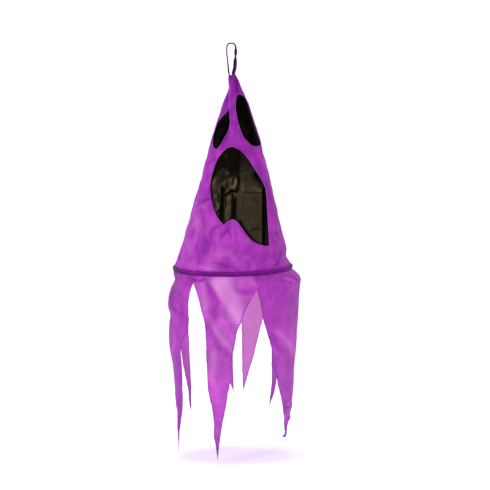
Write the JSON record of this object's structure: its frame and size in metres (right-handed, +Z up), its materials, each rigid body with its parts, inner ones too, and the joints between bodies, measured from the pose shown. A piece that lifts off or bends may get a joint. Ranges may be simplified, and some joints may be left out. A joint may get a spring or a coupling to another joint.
{
  "type": "hanging ghost windsock",
  "caption": "Hanging ghost windsock: a cloth cone with cut-out eyes and mouth, a hoop in a dark sleeve at its lower edge, ragged pointed tails and a tape loop at the tip.",
  "frame": {"origin": "where a hook bears, at the middle of the underside of the hanging loop's top", "axes": "+Z up along the cone's axis, -Y the way the face looks, +X to the right of someone who looks at the face"},
  "size_m": [0.2568, 0.2568, 0.862],
  "materials": {
    "purple_cloth": "satin",
    "dark_binding": "satin",
    "black_cloth": "satin",
    "tape": "satin",
    "thread": "matte",
    "rod": "satin",
    "ferrule": "satin"
  },
  "bodies": {
    "hanger": {"hanging_loop": "tape"},
    "tip": {"loop_bar_tack": "thread"},
    "cone": {"cone": "purple_cloth", "cone_back_seam": "purple_cloth", "left_eye_patch": "black_cloth", "right_eye_patch": "black_cloth", "mouth_patch": "black_cloth"},
    "hoop": {"hoop_rod": "rod", "hoop_ferrule": "ferrule", "hoop_sleeve": "dark_binding", "skirt_band": "purple_cloth"},
    "tail_front_left": {"tail_front_left": "purple_cloth"},
    "tail_front_middle": {"tail_front_middle": "purple_cloth"},
    "tail_front_right": {"tail_front_right": "purple_cloth"},
    "tail_back_right": {"tail_back_right": "purple_cloth"},
    "tail_back_middle": {"tail_back_middle": "purple_cloth"},
    "tail_back_left": {"tail_back_left": "purple_cloth"},
    "tail_side_left": {"tail_side_left": "purple_cloth"}
  },
  "joints": [
    {"name": "windsock_turn", "type": "hinge", "parent": "hanger", "child": "tip", "pos_m": [0, 0, -0.066], "axis": [0, 0, 1], "range_deg": [-180, 180]},
    {"name": "windsock_swing", "type": "hinge", "parent": "tip", "child": "cone", "pos_m": [0, 0, -0.066], "axis": [0, 1, 0], "range_deg": [-60, 60]},
    {"name": "cone_collapse", "type": "slide", "parent": "cone", "child": "hoop", "axis": [0, 0, 1], "range_m": [0, 0.28], "deforming": ["cone", "cone_back_seam", "left_eye_patch", "right_eye_patch", "mouth_patch"]},
    {"name": "front_left_tail_swing", "type": "hinge", "parent": "hoop", "child": "tail_front_left", "pos_m": [-0.11682, -0.0472, -0.487], "axis": [-0.3746, 0.9272, 0], "range_deg": [-12, 85]},
    {"name": "front_middle_tail_swing", "type": "hinge", "parent": "hoop", "child": "tail_front_middle", "pos_m": [-0.01855, -0.12412, -0.487], "axis": [-0.989, 0.1478, 0], "range_deg": [-12, 85]},
    {"name": "front_right_tail_swing", "type": "hinge", "parent": "hoop", "child": "tail_front_right", "pos_m": [0.09763, -0.07628, -0.487], "axis": [-0.6157, -0.788, 0], "range_deg": [-12, 85]},
    {"name": "back_right_tail_swing", "type": "hinge", "parent": "hoop", "child": "tail_back_right", "pos_m": [0.11066, 0.05639, -0.487], "axis": [0.454, -0.891, 0], "range_deg": [-12, 85]},
    {"name": "back_middle_tail_swing", "type": "hinge", "parent": "hoop", "child": "tail_back_middle", "pos_m": [0.04141, 0.12027, -0.487], "axis": [0.9455, -0.3256, 0], "range_deg": [-12, 85]},
    {"name": "back_left_tail_swing", "type": "hinge", "parent": "hoop", "child": "tail_back_left", "pos_m": [-0.04076, 0.11838, -0.487], "axis": [0.9455, 0.3256, 0], "range_deg": [-12, 85]},
    {"name": "side_left_tail_swing", "type": "hinge", "parent": "hoop", "child": "tail_side_left", "pos_m": [-0.11182, 0.05698, -0.487], "axis": [0.454, 0.891, 0], "range_deg": [-12, 85]}
  ]
}
